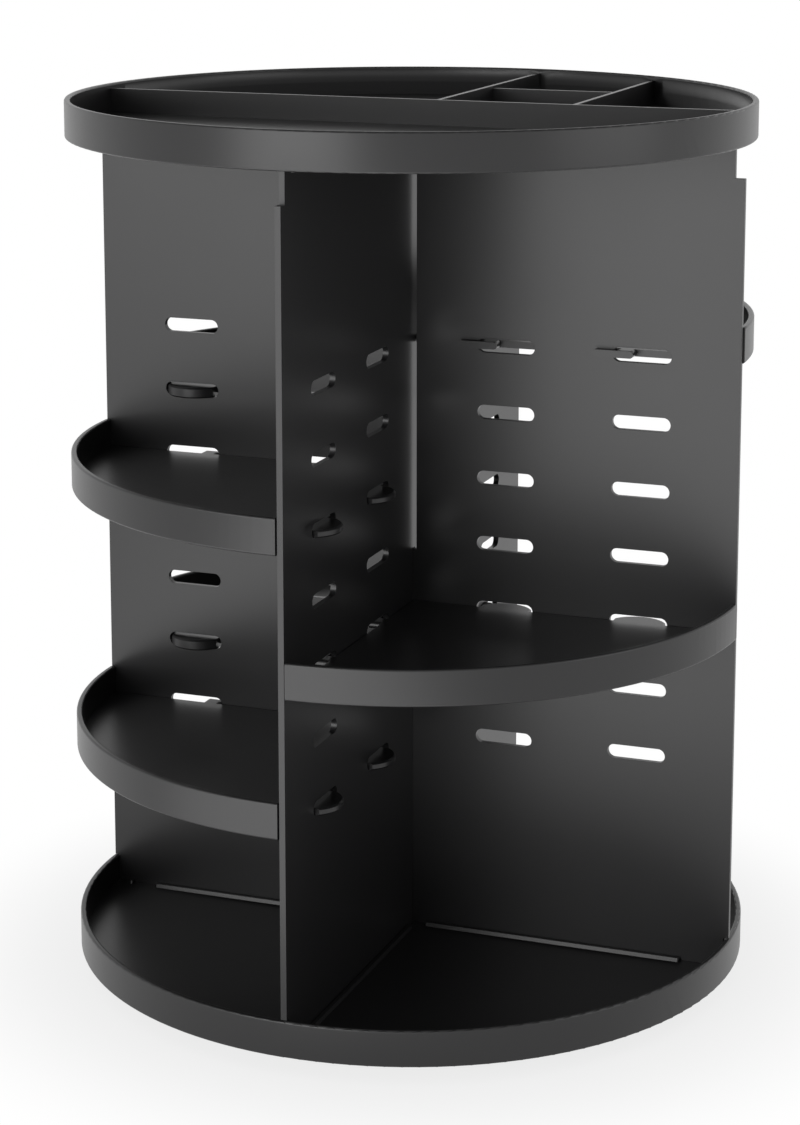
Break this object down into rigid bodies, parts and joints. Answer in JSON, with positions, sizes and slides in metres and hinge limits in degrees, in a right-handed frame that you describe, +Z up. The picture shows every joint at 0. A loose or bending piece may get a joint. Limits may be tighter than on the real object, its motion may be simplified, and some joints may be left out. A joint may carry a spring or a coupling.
{
  "type": "rotating makeup organizer",
  "caption": "Round countertop organizer on a ball-bearing foot: crossed slotted panels, a divided top tray, a bottom tray and height-adjustable quarter-round shelves.",
  "frame": {"origin": "on the table, under the turning axis", "axes": "+Z up along the turning axis, +X along the left-right panel to the right, +Y along the front-back panel to the back"},
  "size_m": [0.23, 0.23, 0.2986],
  "materials": {
    "shell_plastic": "fine matte moulded charcoal",
    "cage_plastic": "natural smooth moulded",
    "pad_rubber": "matte",
    "steel": "bright"
  },
  "bodies": {
    "foot": {"foot_plate": "shell_plastic", "foot_pad_1": "pad_rubber", "foot_pad_2": "pad_rubber", "foot_pad_3": "pad_rubber", "foot_pad_4": "pad_rubber", "foot_pad_5": "pad_rubber", "foot_pad_6": "pad_rubber"},
    "cage": {"ball_cage": "cage_plastic", "bearing_balls": "steel"},
    "carousel": {"bottom_tray": "shell_plastic", "left_right_panel": "shell_plastic", "front_back_panel": "shell_plastic", "pivot_screw": "steel", "pivot_washer": "steel"},
    "top_tray": {"top_tray": "shell_plastic"},
    "front_left_lower_shelf": {"front_left_lower_shelf": "shell_plastic"},
    "front_left_upper_shelf": {"front_left_upper_shelf": "shell_plastic"},
    "front_right_shelf": {"front_right_shelf": "shell_plastic"},
    "rear_right_shelf": {"rear_right_shelf": "shell_plastic"},
    "rear_left_lower_shelf": {"rear_left_lower_shelf": "shell_plastic"},
    "rear_left_upper_shelf": {"rear_left_upper_shelf": "shell_plastic"}
  },
  "joints": [
    {"name": "carousel_spin", "type": "hinge", "parent": "foot", "child": "carousel", "pos_m": [0, 0, 0.006], "axis": [0, 0, 1], "continuous": true},
    {"name": "cage_spin", "type": "hinge", "parent": "foot", "child": "cage", "pos_m": [0, 0, 0.0045], "axis": [0, 0, 1], "continuous": true},
    {"name": "top_tray_lift", "type": "slide", "parent": "carousel", "child": "top_tray", "axis": [0, 0, 1], "range_m": [0, 0.03]},
    {"name": "front_left_lower_shelf_slide", "type": "slide", "parent": "carousel", "child": "front_left_lower_shelf", "axis": [-1, 0, 0], "range_m": [0, 0.008]},
    {"name": "front_left_upper_shelf_slide", "type": "slide", "parent": "carousel", "child": "front_left_upper_shelf", "axis": [-1, 0, 0], "range_m": [0, 0.008]},
    {"name": "front_right_shelf_slide", "type": "slide", "parent": "carousel", "child": "front_right_shelf", "axis": [0, -1, 0], "range_m": [0, 0.008]},
    {"name": "rear_right_shelf_slide", "type": "slide", "parent": "carousel", "child": "rear_right_shelf", "axis": [1, 0, 0], "range_m": [0, 0.008]},
    {"name": "rear_left_lower_shelf_slide", "type": "slide", "parent": "carousel", "child": "rear_left_lower_shelf", "axis": [0, 1, 0], "range_m": [0, 0.008]},
    {"name": "rear_left_upper_shelf_slide", "type": "slide", "parent": "carousel", "child": "rear_left_upper_shelf", "axis": [0, 1, 0], "range_m": [0, 0.008]}
  ],
  "couplings": [
    {"joint": "cage_spin", "follows": "carousel_spin", "ratio": 0.5}
  ]
}
